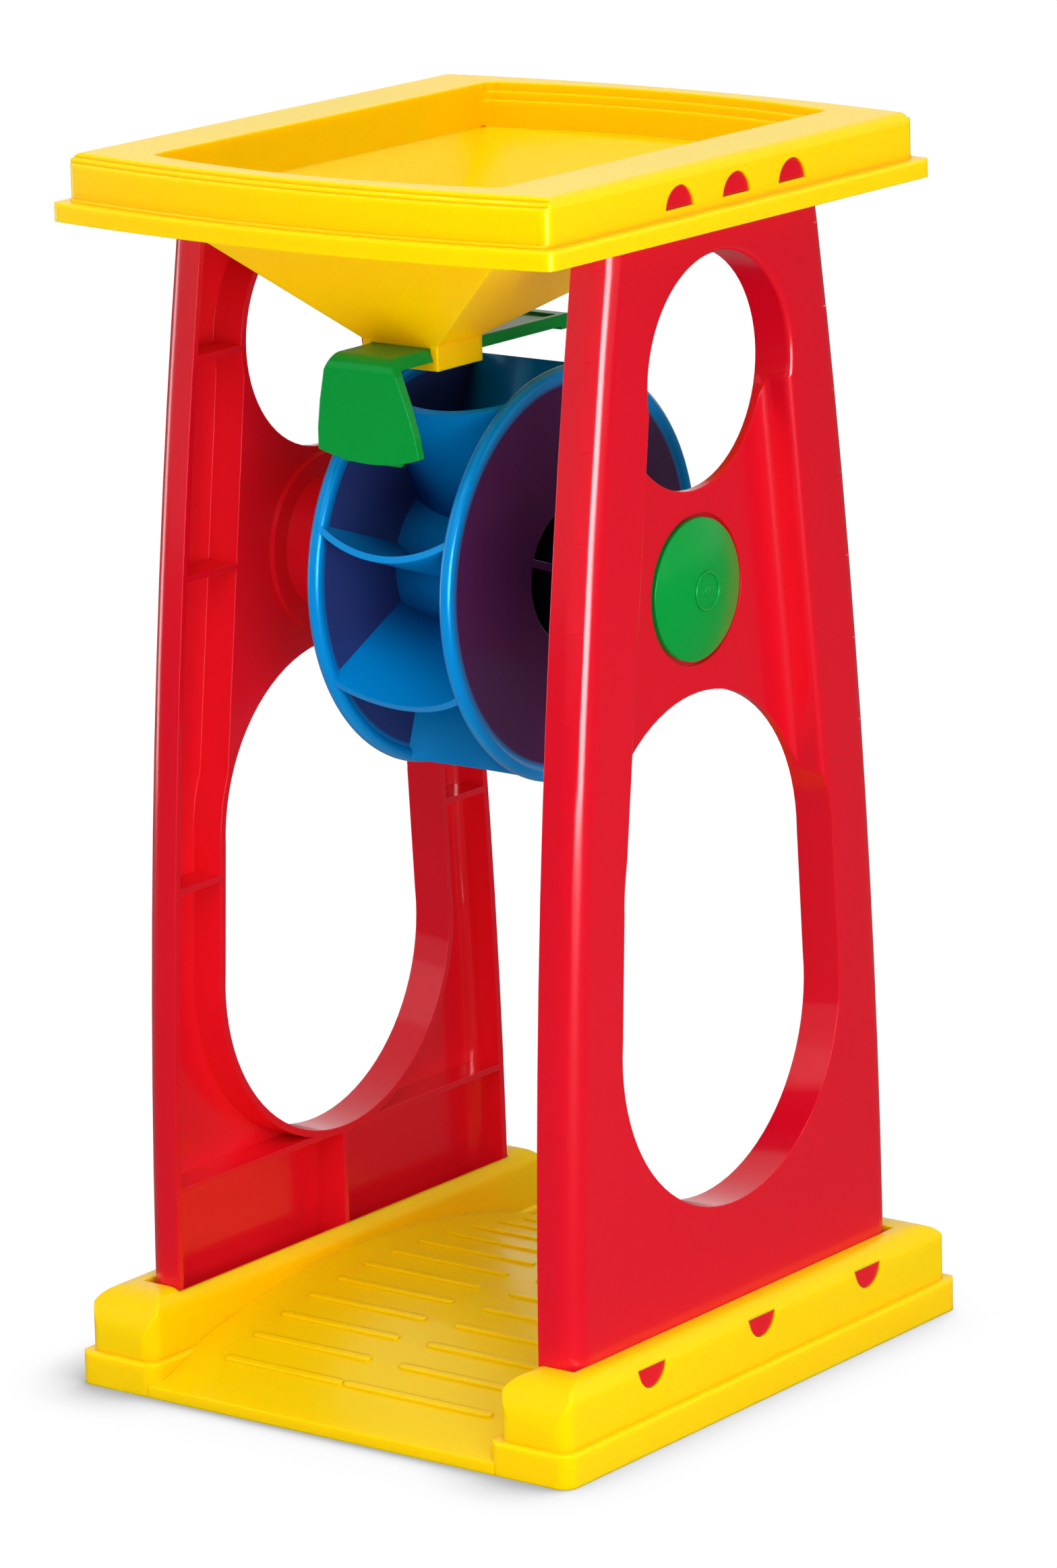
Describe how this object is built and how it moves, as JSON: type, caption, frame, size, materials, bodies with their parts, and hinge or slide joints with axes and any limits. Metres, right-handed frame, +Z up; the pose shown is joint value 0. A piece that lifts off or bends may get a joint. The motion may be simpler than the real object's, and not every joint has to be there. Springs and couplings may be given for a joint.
{
  "type": "sand wheel toy",
  "caption": "Free-standing sand mill: a square hopper with a sliding gate on two windowed side panels, a paddle wheel on a cross axle and an arched base.",
  "frame": {"origin": "middle of the base's underside, on the ground", "axes": "+X along the axle to the right, +Y from front to back, +Z up"},
  "size_m": [0.1966, 0.221, 0.4],
  "materials": {
    "yellow_plastic": "glossy moulded",
    "red_plastic": "glossy moulded",
    "green_plastic": "glossy moulded",
    "blue_plastic": "glossy moulded",
    "axle_plastic": "glossy moulded"
  },
  "bodies": {
    "frame": {"base": "yellow_plastic", "left_panel": "red_plastic", "right_panel": "red_plastic", "hopper": "yellow_plastic", "axle": "axle_plastic", "left_cap": "green_plastic", "right_cap": "green_plastic"},
    "wheel": {"wheel": "blue_plastic"},
    "gate": {"gate_slide": "green_plastic"}
  },
  "joints": [
    {"name": "wheel_spin", "type": "hinge", "parent": "frame", "child": "wheel", "pos_m": [0, 0, 0.2613], "axis": [1, 0, 0], "continuous": true},
    {"name": "gate_pull", "type": "slide", "parent": "frame", "child": "gate", "axis": [0, -1, 0], "range_m": [0, 0.0457]}
  ]
}
